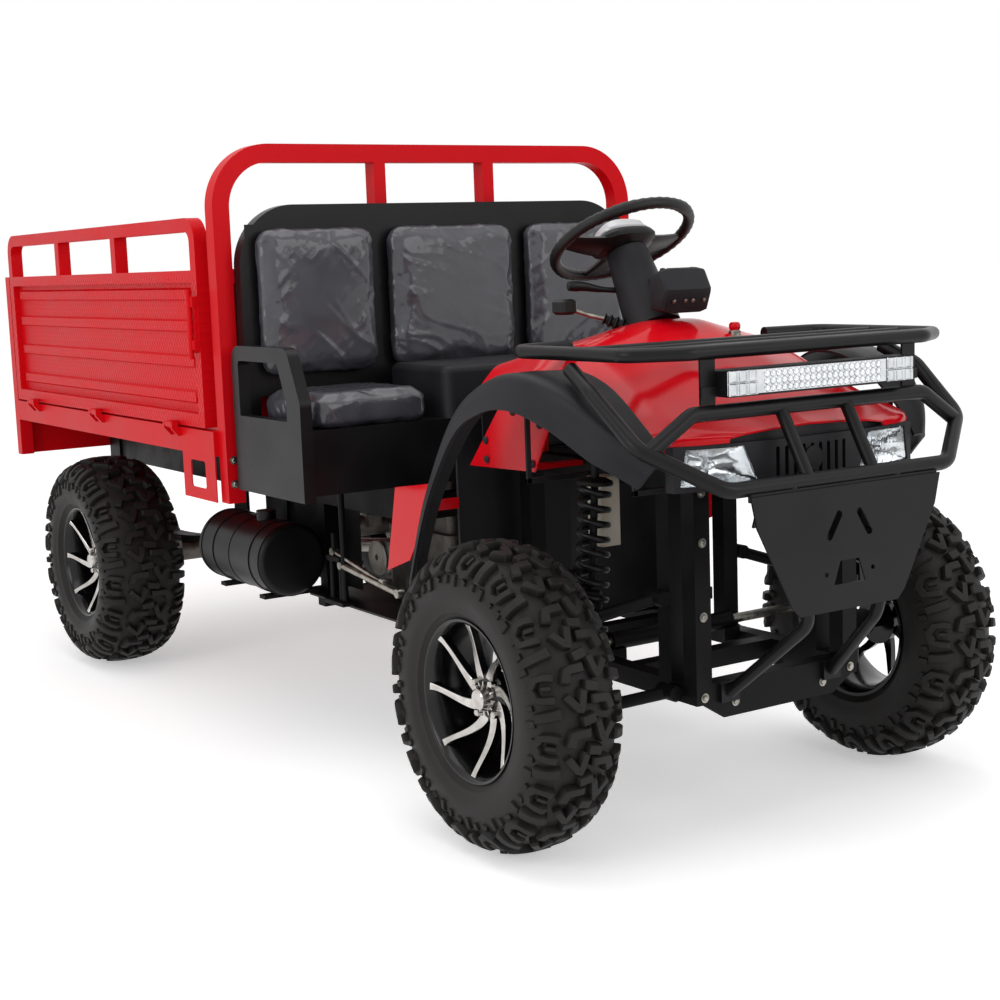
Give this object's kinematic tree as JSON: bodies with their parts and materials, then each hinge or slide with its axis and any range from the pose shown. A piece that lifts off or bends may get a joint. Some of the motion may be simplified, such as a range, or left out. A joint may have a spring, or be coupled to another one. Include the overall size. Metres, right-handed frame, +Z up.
{
  "type": "utility quad bike",
  "caption": "Open farm utility quad with a bull bar, front rack and light bar, a padded bench seat, and a cargo bed whose sides and tail drop down.",
  "frame": {"origin": "on the ground, in the middle of the overall length and width", "axes": "+X forward, +Y to the driver's left, +Z up"},
  "size_m": [3.2, 1.342, 1.492],
  "materials": {
    "red_paint": "gloss",
    "red_plastic": "gloss",
    "black_paint": "satin",
    "dark_plastic": "matte",
    "grip": "satin",
    "vinyl": "satin",
    "tyre": "matte",
    "alloy": "satin",
    "steel": "satin",
    "castings": "matte",
    "tank": "satin",
    "bottle": "matte",
    "light_bar": "satin",
    "lamp": "gloss",
    "tail_lamp": "gloss"
  },
  "bodies": {
    "chassis": {"bed_frame": "red_paint", "headboard": "red_paint", "bed_rear_frame": "red_paint", "hood": "red_plastic", "side_panels": "red_plastic", "main_frame": "black_paint", "front_frame": "black_paint", "floor_plate": "black_paint", "bumper": "black_paint", "skid_plate": "black_paint", "front_rack": "black_paint", "seat_base": "black_paint", "seat_back_frame": "black_paint", "armrests": "black_paint", "suspension_arms": "black_paint", "leaf_springs": "black_paint", "hitch_plate": "black_paint", "pedals": "black_paint", "fenders": "dark_plastic", "front_face": "dark_plastic", "instrument_pod": "dark_plastic", "steering_column": "dark_plastic", "firewall": "dark_plastic", "centre_box": "dark_plastic", "back_cushions": "vinyl", "seat_cushions": "vinyl", "prop_shaft": "steel", "front_shocks": "steel", "rear_axle": "castings", "engine_block": "castings", "fuel_tank": "tank", "coolant_bottle": "bottle", "light_bar": "light_bar", "headlights": "lamp", "tail_lamps": "tail_lamp"},
    "knuckle_left": {"knuckle_left": "steel"},
    "knuckle_right": {"knuckle_right": "steel"},
    "wheel_front_left": {"tyre_front_left": "tyre", "rim_front_left": "alloy"},
    "wheel_front_right": {"tyre_front_right": "tyre", "rim_front_right": "alloy"},
    "wheel_rear_left": {"tyre_rear_left": "tyre", "rim_rear_left": "alloy"},
    "wheel_rear_right": {"tyre_rear_right": "tyre", "rim_rear_right": "alloy"},
    "steering_wheel": {"steering_wheel": "grip"},
    "steering_rack": {"steering_rack": "steel"},
    "side_gate_left": {"side_gate_left": "red_paint"},
    "side_gate_right": {"side_gate_right": "red_paint"},
    "tailgate": {"tailgate": "red_paint"}
  },
  "joints": [
    {"name": "steer_right", "type": "hinge", "parent": "chassis", "child": "knuckle_right", "pos_m": [1.145, -0.44, 0.3175], "axis": [0, 0, 1], "range_deg": [-30, 30]},
    {"name": "steer_left", "type": "hinge", "parent": "chassis", "child": "knuckle_left", "pos_m": [1.145, 0.44, 0.3175], "axis": [0, 0, 1], "range_deg": [-30, 30]},
    {"name": "steering_turn", "type": "hinge", "parent": "chassis", "child": "steering_wheel", "pos_m": [0.896, 0, 1.222], "axis": [-0.4848, 0, 0.8746], "range_deg": [-270, 270]},
    {"name": "rack_slide", "type": "slide", "parent": "chassis", "child": "steering_rack", "axis": [0, 1, 0], "range_m": [-0.0525, 0.0525]},
    {"name": "spin_front_left", "type": "hinge", "parent": "knuckle_left", "child": "wheel_front_left", "pos_m": [1.145, 0.524, 0.3175], "axis": [0, 1, 0], "continuous": true},
    {"name": "spin_front_right", "type": "hinge", "parent": "knuckle_right", "child": "wheel_front_right", "pos_m": [1.145, -0.524, 0.3175], "axis": [0, 1, 0], "continuous": true},
    {"name": "spin_rear_left", "type": "hinge", "parent": "chassis", "child": "wheel_rear_left", "pos_m": [-1.035, 0.54, 0.3175], "axis": [0, 1, 0], "continuous": true},
    {"name": "spin_rear_right", "type": "hinge", "parent": "chassis", "child": "wheel_rear_right", "pos_m": [-1.035, -0.54, 0.3175], "axis": [0, 1, 0], "continuous": true},
    {"name": "drop_left", "type": "hinge", "parent": "chassis", "child": "side_gate_left", "pos_m": [-0.76, 0.662, 0.797], "axis": [-1, 0, 0], "range_deg": [0, 178]},
    {"name": "drop_right", "type": "hinge", "parent": "chassis", "child": "side_gate_right", "pos_m": [-0.76, -0.662, 0.797], "axis": [1, 0, 0], "range_deg": [0, 178]},
    {"name": "drop_tail", "type": "hinge", "parent": "chassis", "child": "tailgate", "pos_m": [-1.591, 0, 0.797], "axis": [0, -1, 0], "range_deg": [0, 178]}
  ],
  "couplings": [
    {"joint": "steer_left", "follows": "steer_right", "ratio": 1},
    {"joint": "steering_turn", "follows": "steer_right", "ratio": 9},
    {"joint": "rack_slide", "follows": "steer_right", "m_per_rad": -0.1}
  ]
}
